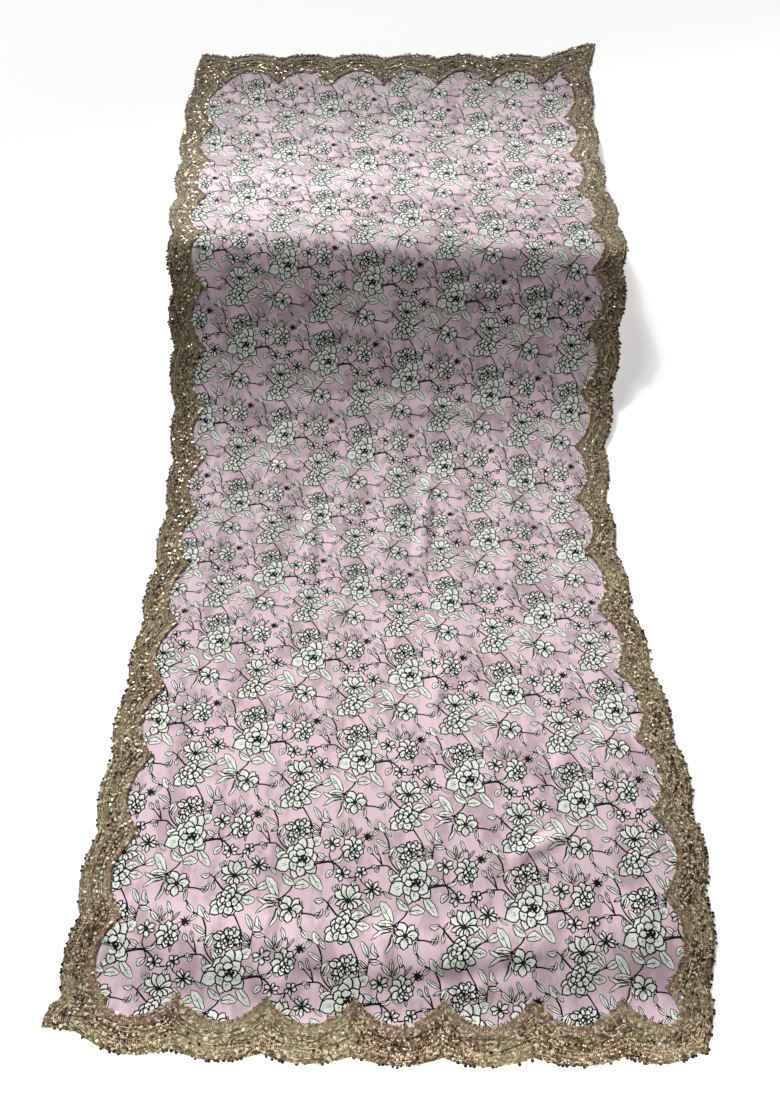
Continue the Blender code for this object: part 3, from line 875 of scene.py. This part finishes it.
def drawn_to_seam(across, down):
    """Points of the cut, those past the seam line drawn back to it, less a small tuck under the lace."""
    for _ in range(2):
        near, far = (on_edge(edge, across, 1.0, SEAM_TUCK)[1] for edge in ("near_end", "far_end"))
        down = np.clip(down, near, far)
        left, right = (on_edge(edge, down, 1.0, SEAM_TUCK)[0] for edge in ("left_side", "right_side"))
        across = np.clip(across, left, right)
    return across, down


i, j = np.meshgrid(np.arange(-14, 15), np.arange(-6, 20), indexing="ij")
shifts = PRINT_ORIGIN + np.stack([i, j], axis=-1).reshape(-1, 2) @ PRINT_STEPS
near_cut = (np.abs(shifts[:, 0]) < PRINT_REACH) & (shifts[:, 1] > -0.25) & (shifts[:, 1] < LENGTH + 0.15)
shifts = shifts[near_cut]
drawn = (shifts[:, None, :] + tile_points).reshape(-1, 2)
across, down = drawn[:, 0], drawn[:, 1] + smooth(DRIFT_AT, DRIFT, drawn[:, 1])
held_across, held_down = drawn_to_seam(across, down)
outside = (held_across != across) | (held_down != down)
print_faces = (tile_faces + len(tile_points) * np.arange(len(shifts))[:, None, None]).reshape(-1, 3)
print_colour = np.tile(colour, len(shifts))
within = ~outside[print_faces].all(axis=1)
print_faces, print_colour = print_faces[within], print_colour[within]
print_cut = np.stack([held_across, held_down], axis=-1)
corner = print_cut[print_faces]
one, two = corner[:, 1] - corner[:, 0], corner[:, 2] - corner[:, 0]
turn = cross(one, two)
print_faces[turn < 0] = print_faces[turn < 0][:, ::-1]
SLIVER = 1e-9
print_faces, print_colour = print_faces[np.abs(turn) > SLIVER], print_colour[np.abs(turn) > SLIVER]
print(len(shifts), "copies,", len(print_faces), "triangles of print on the cut")

# %% Four pieces of print
INK_SPLIT = 1.05


def print_piece(name, chosen):
    """One colour of the print as a laid skin, its normals taken from the folds below it."""
    used, faces = np.unique(print_faces[chosen], return_inverse=True)
    cut = print_cut[used]
    points = lay(cut[:, 0], cut[:, 1], PRINT_LIFT)
    piece = make_piece(name, points, faces.reshape(-1, 3), {"cut": cut}, facing(cut[:, 0], cut[:, 1]))
    print(name, len(piece.data.polygons), "triangles")
    return piece


face_down = print_cut[print_faces][:, :, 1].mean(axis=1)
print_pieces = {
    "print_pink": print_piece("print_pink", print_colour == PINK),
    "print_mint": print_piece("print_mint", print_colour == MINT),
    "print_ink_near": print_piece("print_ink_near", (print_colour == INK) & (face_down < INK_SPLIT)),
    "print_ink_far": print_piece("print_ink_far", (print_colour == INK) & (face_down >= INK_SPLIT)),
}

# %% [markdown]
# ## Embroidery on the net
# On the real border, gilt thread called zari, cords, knots and sequins are worked so closely that the
# net hardly shows. Every row follows a line of equal share between the scalloped edge and the seam. Small
# shapes are made once, with a few faces each, and thousands of copies are set on the laid net.

# %% Points spaced evenly along a line of the lace
SMALL = 0.0005
random = np.random.default_rng(11)


def row_along(edge, share, spacing, trim=0.001):
    """Points of the cut, evenly spaced by length along a line of equal share, and the line's turn at each."""
    first, last = edge_ends(edge, share)
    place = np.linspace(first + trim, last - trim, 4000)
    line = np.stack(np.broadcast_arrays(*on_edge(edge, place, share)), axis=-1)
    run = np.r_[0, np.cumsum(np.hypot(*np.diff(line, axis=0).T))]
    at = np.linspace(0, run[-1], int(run[-1] / spacing) + 1)
    places = np.interp(at, run, place)
    points = np.stack([np.interp(places, place, line[:, axis]) for axis in (0, 1)], axis=-1)
    slope = np.gradient(points, axis=0)
    return points, np.arctan2(slope[:, 1], slope[:, 0])


def rows_along(share, spacing):
    """The same line on all four edges, as one array of points and one of turns."""
    rows = [row_along(edge, share, spacing) for edge in EDGES]
    return np.concatenate([points for points, _ in rows]), np.concatenate([turns for _, turns in rows])


def frames_on(cut, lift):
    """The laid place of points of the cut, and the directions right, ahead and out of the cloth at each."""
    right = lay(cut[:, 0] + SMALL, cut[:, 1]) - lay(cut[:, 0] - SMALL, cut[:, 1])
    right /= np.linalg.norm(right, axis=1, keepdims=True)
    out = facing(cut[:, 0], cut[:, 1])
    return lay(cut[:, 0], cut[:, 1], lift), np.stack([right, np.cross(out, right), out], axis=1)


def strew(name, shape, faces, cut, turns, lift, tilts=0.0, sizes=1.0, marks=None):
    """Copies of a small shape on points of the cut: each is sized, tilted on its own X axis, turned, then laid."""
    count = len(cut)
    tilts, sizes = np.broadcast_to(tilts, count)[:, None], np.broadcast_to(sizes, count)[:, None]
    x, y, z = (shape[None, :, axis] * sizes for axis in (0, 1, 2))
    y, z = y * np.cos(tilts) - z * np.sin(tilts), y * np.sin(tilts) + z * np.cos(tilts)
    cos, sin = np.cos(turns)[:, None], np.sin(turns)[:, None]
    local = np.stack([x * cos - y * sin, x * sin + y * cos, z], axis=-1)
    origin, axes = frames_on(cut, lift)
    points = (origin[:, None] + local @ axes).reshape(-1, 3)
    all_faces = (faces[None] + len(shape) * np.arange(count)[:, None, None]).reshape(-1, faces.shape[1])
    tone = np.repeat(random.random(count), len(shape))
    mark = np.tile(np.zeros(len(shape)) if marks is None else marks, count)
    maps = {"tone": np.stack([tone, mark], axis=-1)}
    piece = make_piece(name, points, all_faces, maps)
    print(name, count, "copies,", len(all_faces) * (faces.shape[1] - 2), "triangles")
    return piece


# %% The small shapes: a loop, a knot and a sequin
def loop_shape(radius, thread, segments=6):
    """A ring of thread with a three-sided section: two circles on the net and one raised between them."""
    turns = 2 * np.pi * np.arange(segments) / segments
    section = np.array([(radius + thread, 0.0), (radius, 1.3 * thread), (radius - thread, 0.0)])
    points = np.stack([section[None, :, 0] * np.cos(turns)[:, None], section[None, :, 0] * np.sin(turns)[:, None],
                       np.broadcast_to(section[None, :, 1], (segments, 3))], axis=-1).reshape(-1, 3)
    index = np.arange(segments * 3).reshape(segments, 3)
    after = np.roll(index, -1, axis=0)
    quads = [np.stack([index[:, k], after[:, k], after[:, (k + 1) % 3], index[:, (k + 1) % 3]], axis=-1)
             for k in range(3)]
    return points, np.concatenate(quads)


def knot_shape(length, width, height):
    """A raised stitch or knot: a long octahedron of eight faces."""
    points = np.array([(length, 0, 0), (0, width, 0), (-length, 0, 0), (0, -width, 0), (0, 0, height),
                       (0, 0, -height)]) / 2
    faces = np.array([(0, 1, 4), (1, 2, 4), (2, 3, 4), (3, 0, 4), (1, 0, 5), (2, 1, 5), (3, 2, 5), (0, 3, 5)])
    return points, faces


def sequin_shape(radius, sides=7):
    """A dished sequin: three rings and a middle, a flat underside, and marks that grow from 0 at the rim to 1."""
    turns = 2 * np.pi * np.arange(sides) / sides
    rings = ((1.0, 0.0, 0.0), (0.84, 0.30, 0.1), (0.36, 0.05, 0.8))
    points = [np.stack([share * radius * np.cos(turns), share * radius * np.sin(turns),
                        np.full(sides, height * radius * 0.5)], axis=-1) for share, height, _ in rings]
    marks = np.repeat([mark for _, _, mark in rings], sides)
    points, marks = np.concatenate(points + [[(0, 0, -0.05 * radius)]]), np.r_[marks, 1.0]
    index = np.arange(3 * sides).reshape(3, sides)
    after = np.roll(index, -1, axis=1)
    faces = []
    for ring in range(2):
        faces += [np.stack([index[ring], after[ring], after[ring + 1]], axis=-1),
                  np.stack([index[ring], after[ring + 1], index[ring + 1]], axis=-1)]
    faces.append(np.stack([index[2], after[2], np.full(sides, 3 * sides)], axis=-1))
    under = np.stack([np.zeros(sides - 2, int), np.arange(2, sides), np.arange(1, sides - 1)], axis=-1)
    return points, np.concatenate(faces + [under]), marks


print("a sequin has", len(sequin_shape(0.0025)[1]), "triangles")

# %% Braid of gilt loops along the seam, with a row of knots inside it
LOOP_PITCH, EDGE_LOOP_PITCH, KNOT_PITCH = 0.0044, 0.0046, 0.0031
loop_points, loop_faces = loop_shape(0.0019, 0.00055)
cut, turns = rows_along(0.965, LOOP_PITCH)
braid_loops = strew("braid_loops", loop_points, loop_faces, cut, turns, NET_TOP,
                    random.uniform(-0.15, 0.15, len(cut)), random.uniform(0.9, 1.15, len(cut)))
small_points, small_faces = loop_shape(0.0015, 0.0005, 5)
cut, turns = rows_along(0.012, EDGE_LOOP_PITCH)
edge_loops = strew("edge_loops", small_points, small_faces, cut + random.normal(0, 0.0007, cut.shape), turns,
                   NET_TOP - 0.0009, random.uniform(-0.4, 0.4, len(cut)), random.uniform(0.8, 1.3, len(cut)))
knot_points, knot_faces = knot_shape(0.0032, 0.0020, 0.0016)
cut, turns = rows_along(1.01, KNOT_PITCH)
cut = cut + random.normal(0, 0.0009, cut.shape)
braid_knots = strew("braid_knots", knot_points, knot_faces, cut, turns + random.uniform(-0.7, 0.7, len(cut)),
                    NET_TOP - 0.0002, 0.0, random.uniform(0.8, 1.2, len(cut)))

# %% Ladder cords: rows of short bars that cross their line
BAR_PITCH = 0.0028
bar_points, bar_faces = knot_shape(0.0019, 0.0044, 0.0016)
cords = [rows_along(share, BAR_PITCH) for share in (0.885, 0.315, 0.225)]
cut, turns = (np.concatenate(parts) for parts in zip(*cords))
turns = turns + random.uniform(-0.12, 0.12, len(cut))
ladder_cords = strew("ladder_cords", bar_points, bar_faces, cut, turns, NET_TOP)

# %% Plain cords between them
CORD_STEP = 0.005
CORD_SECTION = 0.0007 * np.array([(1.0, -0.4), (0.0, 1.4), (-1.0, -0.4)])
cord_points, cord_faces, cord_marks, start = [], [], [], 0
for share in (0.70, 0.585, 0.385, 0.10):
    for edge in EDGES:
        line, turns = row_along(edge, share, CORD_STEP)
        pinch = np.ones(len(line))
        pinch[[0, -1]] = 0.0
        side = np.stack([-np.sin(turns), np.cos(turns)], axis=-1)
        ring = line[:, None] + side[:, None] * (CORD_SECTION[None, :, :1] * pinch[:, None, None])
        lift = NET_TOP + CORD_SECTION[None, :, 1] * pinch[:, None]
        cord_points.append(lay(ring[..., 0], ring[..., 1], lift).reshape(-1, 3))
        cord_faces.append(grid_faces(len(line), 3, start, around=True)[:, ::-1])
        cord_marks.append(np.stack([np.repeat(random.random(len(line)), 3), np.zeros(3 * len(line))], axis=-1))
        start += 3 * len(line)
plain_cords = make_piece("plain_cords", np.concatenate(cord_points), np.concatenate(cord_faces),
                         {"tone": np.concatenate(cord_marks)})
print("plain cords:", len(plain_cords.data.polygons), "quads")


# %% Stitches and sequins spread over the bands
def spread(count, low, high, weights=None):
    """Points of the cut spread at random over a band between two shares, on all four edges by their length."""
    spans = np.array([np.subtract(*edge_ends(edge, 0.5)[::-1]) for edge in EDGES])
    share = random.uniform(low, high, count)
    which = random.choice(len(EDGES), count, p=spans / spans.sum())
    cut, turns = np.zeros((count, 2)), np.zeros(count)
    for number, edge in enumerate(EDGES):
        own = which == number
        ends = np.array([edge_ends(edge, value) for value in (low, high)])
        part = (share[own] - low) / (high - low)
        first, last = (ends[0, k] + (ends[1, k] - ends[0, k]) * part for k in (0, 1))
        place = first + (last - first) * random.uniform(0.003, 0.997, own.sum())
        cut[own] = np.stack(np.broadcast_arrays(*on_edge(edge, place, share[own])), axis=-1)
        ahead = np.stack(np.broadcast_arrays(*on_edge(edge, place + 0.001, share[own])), axis=-1)
        turns[own] = np.arctan2(ahead[:, 1] - cut[own, 1], ahead[:, 0] - cut[own, 0])
    return cut, turns


stitch_points, stitch_faces = knot_shape(0.0036, 0.0013, 0.0012)
STITCHES = 8000
cut, turns = spread(STITCHES, 0.04, 0.86)
leaning = random.choice([0.35, -0.35, 0.8, -0.8, 1.57], len(cut))
turns = turns + leaning + random.uniform(-0.3, 0.3, len(cut))
zari_stitches = strew("zari_stitches", stitch_points, stitch_faces, cut, turns, NET_TOP, 0.0,
                      random.uniform(0.8, 1.3, len(cut)))

SEQUIN_RADIUS = 0.0025
SEQUIN_LIFT = NET_TOP + 0.0007
sequin_points, sequin_faces, sequin_marks = sequin_shape(SEQUIN_RADIUS)
bands = [spread(650, 0.60, 0.80), spread(450, 0.40, 0.57), spread(250, 0.05, 0.20), spread(550, 0.93, 1.03)]
cut, turns = (np.concatenate(parts) for parts in zip(*bands))
gold_sequins = strew("gold_sequins", sequin_points, sequin_faces, cut, random.uniform(0, 6.28, len(cut)),
                     SEQUIN_LIFT, random.normal(0, 0.16, len(cut)), random.uniform(0.8, 1.1, len(cut)),
                     sequin_marks)
bands = [spread(220, 0.26, 0.42), spread(180, 0.44, 0.56)]
cut, turns = (np.concatenate(parts) for parts in zip(*bands))
dark_sequins = strew("dark_sequins", sequin_points, sequin_faces, cut, random.uniform(0, 6.28, len(cut)),
                     SEQUIN_LIFT, random.normal(0, 0.2, len(cut)), random.uniform(0.8, 1.1, len(cut)),
                     sequin_marks)

# %% Dark sequins that hang over the scalloped edge
HANGING_PITCH, HANGING_SHARE = 0.0062, 0.5
cut, turns = rows_along(-0.014, HANGING_PITCH)
kept = random.random(len(cut)) < HANGING_SHARE
cut, turns = cut[kept] + random.normal(0, 0.0010, (kept.sum(), 2)), turns[kept]
edge_sequins = strew("edge_sequins", sequin_points, sequin_faces, cut, turns, 0.0012,
                     random.normal(0, 0.3, len(cut)), random.uniform(0.95, 1.25, len(cut)), sequin_marks)

# %% [markdown]
# ## Finishes of the printed cloth
# The cloth is a viscose crepe: matt from above, with a soft sheen where a fold turns away. Its dusty pink isn't
# even: greyer mauve patches are spread over it at random, and long faint streaks of painted sheen and shade run
# along its length. The mint and the ink are printed on the same threads, so they share the streaks and the weave.


# %% Pink, mint and ink on crepe
EASED, COLOURS = {"interpolation_type": "SMOOTHSTEP"}, {"data_type": "RGBA"}
PAINTED_SHEEN_STREAK, PAINTED_SHEEN_RUN = 0.0035, 0.12
CREPE_GRAIN = 0.0016  # crepe threads are about 0.3 mm apart, too fine for this view, so the grain is coarser


def crepe_material(name, light, deep, patch, patch_low, patch_high, **settings):
    """Printed crepe: light colour, deeper patches of a given size, faint streaks of painted sheen and shade, and a
    fine grain.
    """
    material, shader = new_material(name, **settings)
    cut = add_node(material, "UVMap", {"uv_map": "cut"}).outputs["UV"]
    long_cut = add_node(material, "Mapping", i0=cut, i3=(1.0, 0.5, 1.0)).outputs[0]
    cloud = add_node(material, "TexNoise", Vector=long_cut, Scale=1 / patch, Detail=3.0, Roughness=0.6)
    share = add_node(material, "MapRange", EASED, Value=cloud.outputs["Fac"], From_Min=patch_low, From_Max=patch_high)
    # Painted sheen and shade: faint lengthwise streaks, placed at random, make the colour up to 4.5 % lighter and
    # darker
    streak_cut = add_node(material, "Mapping", i0=cut,
                          i3=(1 / PAINTED_SHEEN_STREAK, 1 / PAINTED_SHEEN_RUN, 1.0)).outputs[0]
    streak = add_node(material, "TexNoise", Vector=streak_cut, Scale=1.0, Detail=2.0)
    tint = add_node(material, "Mix", COLOURS, Factor=share.outputs[0], A=linear(light),
                    B=linear(deep))
    level = add_node(material, "MapRange", Value=streak.outputs["Fac"], From_Min=0.3, From_Max=0.7,
                     To_Min=0.955, To_Max=1.045)
    final = add_node(material, "VectorMath", {"operation": "SCALE"}, i0=tint.outputs[2],
                     Scale=level.outputs[0])
    plug(material, final.outputs[0], shader.inputs["Base Color"])
    grain = add_node(material, "TexNoise", Vector=cut, Scale=1 / CREPE_GRAIN, Detail=1.0)
    bump = add_node(material, "Bump", Height=grain.outputs["Fac"], Strength=0.25, Distance=0.0004)
    plug(material, bump.outputs[0], shader.inputs["Normal"])
    return material


SOFT = {"Roughness": 0.62, "Sheen_Weight": 0.22, "Sheen_Roughness": 0.45, "Specular_IOR_Level": 0.28}
DRY = {"Roughness": 0.9, "Specular_IOR_Level": 0.08}
crepe_pink = crepe_material("viscose_crepe_pink", "#e9cdd7", "#c5a9b3", 0.042, 0.44, 0.62, **SOFT)
crepe_reverse = crepe_material("viscose_crepe_reverse", "#d6bfc6", "#b9aab0", 0.020, 0.42, 0.60, **SOFT)
crepe_mint = crepe_material("screen_print_mint", "#eef2e7", "#d1d7cc", 0.012, 0.45, 0.68, **SOFT)
crepe_ink = crepe_material("screen_print_ink", "#161414", "#222020", 0.010, 0.40, 0.60, **DRY)
woven_cloth.data.materials.append(crepe_reverse)
for name, material in (("print_pink", crepe_pink), ("print_mint", crepe_mint), ("print_ink_near", crepe_ink),
                       ("print_ink_far", crepe_ink)):
    print_pieces[name].data.materials.append(material)
print("printed cloth finished in", len(print_pieces) + 1, "pieces")

# %% [markdown]
# ## Finishes of the lace
# The net is dusty rose nylon, filled with tiny stitches of gilt and dark thread. A cell pattern gives each
# speck one of four thread colours, and painted shade darkens each speck's middle and rim, in the gaps between
# stitches. The share across the lace sets the bands: bare pink net inside the first cord, ribs of stitches near
# the outer edge. Loops, cords and sequins are gilt, and each copy takes its own tone, because real gilt thread
# tarnishes unevenly; the palest tones of the gilt sequins are painted glints.

# %% Net with gilt thread
SPECK = 0.0030
net_material, net_shader = new_material("nylon_net_with_zari", Roughness=0.75, Specular_IOR_Level=0.2)
cut = add_node(net_material, "UVMap", {"uv_map": "cut"}).outputs["UV"]
lace = add_node(net_material, "UVMap", {"uv_map": "lace"}).outputs["UV"]
lace_parts = add_node(net_material, "SeparateXYZ", i0=lace)
cells = add_node(net_material, "TexVoronoi", Vector=cut, Scale=1 / SPECK, Randomness=0.85)
pick = add_node(net_material, "SeparateColor", i0=cells.outputs["Color"])


def colour_ramp(material, source, stops):
    """A colour ramp over a source: stops are pairs of a place from 0 to 1 and a hex colour."""
    node = add_node(material, "ValToRGB", i0=source)
    while len(node.color_ramp.elements) < len(stops):
        node.color_ramp.elements.new(0.5)
    for element, (place, hex_colour) in zip(node.color_ramp.elements, stops):
        element.position = place
        element.color = linear(hex_colour)
    return node.outputs["Color"]


threads = colour_ramp(net_material, pick.outputs[0], (
    (0.0, "#3f2d23"), (0.28, "#745849"), (0.50, "#93765f"), (0.72, "#b7a07c"), (0.88, "#ece1bd"), (1.0, "#fffbe8")))
# Painted shade: near black at each speck's middle and dark again towards its rim, as shade in the gaps between
# stitches
painted_gap_shade = colour_ramp(net_material, cells.outputs["Distance"], (
    (0.0, "#1c140e"), (0.18, "#2b2018"), (0.28, "#ffffff"), (0.54, "#ffffff"), (0.68, "#5c463b"), (0.9, "#48362e")))
ringlets_with_painted_shade = add_node(net_material, "Mix", {"data_type": "RGBA", "blend_type": "MULTIPLY"}, Factor=1.0,
                    A=threads, B=painted_gap_shade).outputs[2]
band = add_node(net_material, "MapRange", EASED,
                Value=lace_parts.outputs[1], From_Min=0.86, From_Max=0.90)
band_end = add_node(net_material, "MapRange", EASED,
                    Value=lace_parts.outputs[1], From_Min=0.74, From_Max=0.79)
bare = add_node(net_material, "Math", {"operation": "SUBTRACT"}, i0=band_end.outputs[0],
                i1=band.outputs[0])
bare_share = add_node(net_material, "Math", {"operation": "MULTIPLY"}, i0=bare.outputs[0], i1=0.40)
net_colour = add_node(net_material, "Mix", COLOURS, Factor=bare_share.outputs[0],
                      A=ringlets_with_painted_shade, B=linear("#a07c78"))
cloud = add_node(net_material, "TexNoise", Vector=cut, Scale=1 / 0.11, Detail=2.0)
olive_share = add_node(net_material, "MapRange", EASED,
                       Value=cloud.outputs["Fac"], From_Min=0.42, From_Max=0.62, To_Min=0.0, To_Max=0.36)
net_final = add_node(net_material, "Mix", COLOURS, Factor=olive_share.outputs[0],
                     A=net_colour.outputs[2], B=linear("#a8a67e"))
plug(net_material, net_final.outputs[2], net_shader.inputs["Base Color"])
net_bump = add_node(net_material, "Bump", Height=cells.outputs["Distance"], Strength=0.7,
                    Distance=0.0008)
plug(net_material, net_bump.outputs[0], net_shader.inputs["Normal"])
for net in lace_nets.values():
    net.data.materials.append(net_material)


# %% Gilt thread, gilt sequins and dark sequins
def toned_material(name, tones, middle, **settings):
    """Gilt that reads each copy's own tone from the map, and a middle colour where the mark is 1."""
    material, shader = new_material(name, **settings)
    parts = add_node(material, "SeparateXYZ", i0=add_node(
        material, "UVMap", {"uv_map": "tone"}).outputs["UV"])
    tone = colour_ramp(material, parts.outputs[0], tones)
    eye = add_node(material, "MapRange", Value=parts.outputs[1], From_Min=0.55, From_Max=0.9)
    colour_mix = add_node(material, "Mix", COLOURS, Factor=eye.outputs[0],
                          A=tone, B=linear(middle))
    plug(material, colour_mix.outputs[2], shader.inputs["Base Color"])
    return material


gilt_thread = toned_material("gilt_zari_thread", ((0.0, "#150e09"), (0.38, "#3f3026"), (0.60, "#9c885f"),
                                                  (1.0, "#fff3cf")), "#5a4430", Metallic=0.1, Roughness=0.55)
gilt_pale = toned_material("pale_gilt_cord", ((0.0, "#8a6f58"), (0.5, "#bfa584"), (1.0, "#e6d8b8")), "#7d6648",
                           Metallic=0.1, Roughness=0.55)
# Painted glints: the near-white top of this ramp stands in for sequins that catch the light; lower tones are uneven
# gilt
gilt_sequin_with_painted_glints = toned_material("gilt_sequin_with_painted_glints", ((0.0, "#7c6540"), (0.45, "#c9b27a"), (0.75, "#fff3d0"),
                                              (1.0, "#fffaf0")), "#3a2b1c", Metallic=0.55, Roughness=0.3)
dark_sequin = toned_material("dark_bronze_sequin", ((0.0, "#1d1712"), (0.6, "#33291f"), (1.0, "#5c4c38")),
                             "#0d0a08", Metallic=0.4, Roughness=0.35)
for piece, material in ((braid_loops, gilt_pale), (edge_loops, gilt_thread), (braid_knots, gilt_thread),
                        (ladder_cords, gilt_pale), (plain_cords, gilt_thread), (zari_stitches, gilt_thread),
                        (gold_sequins, gilt_sequin_with_painted_glints),
                        (dark_sequins, dark_sequin), (edge_sequins, dark_sequin)):
    piece.data.materials.append(material)

for edge, net in lace_nets.items():
    _, _, _, width, _, reach = EDGES[edge]
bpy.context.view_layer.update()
total = 0
for piece in bpy.data.objects:
    if piece.type == "MESH" and piece.visible_get():
        piece.data.calc_loop_triangles()
        total += len(piece.data.loop_triangles)
print("triangles shown:", total)
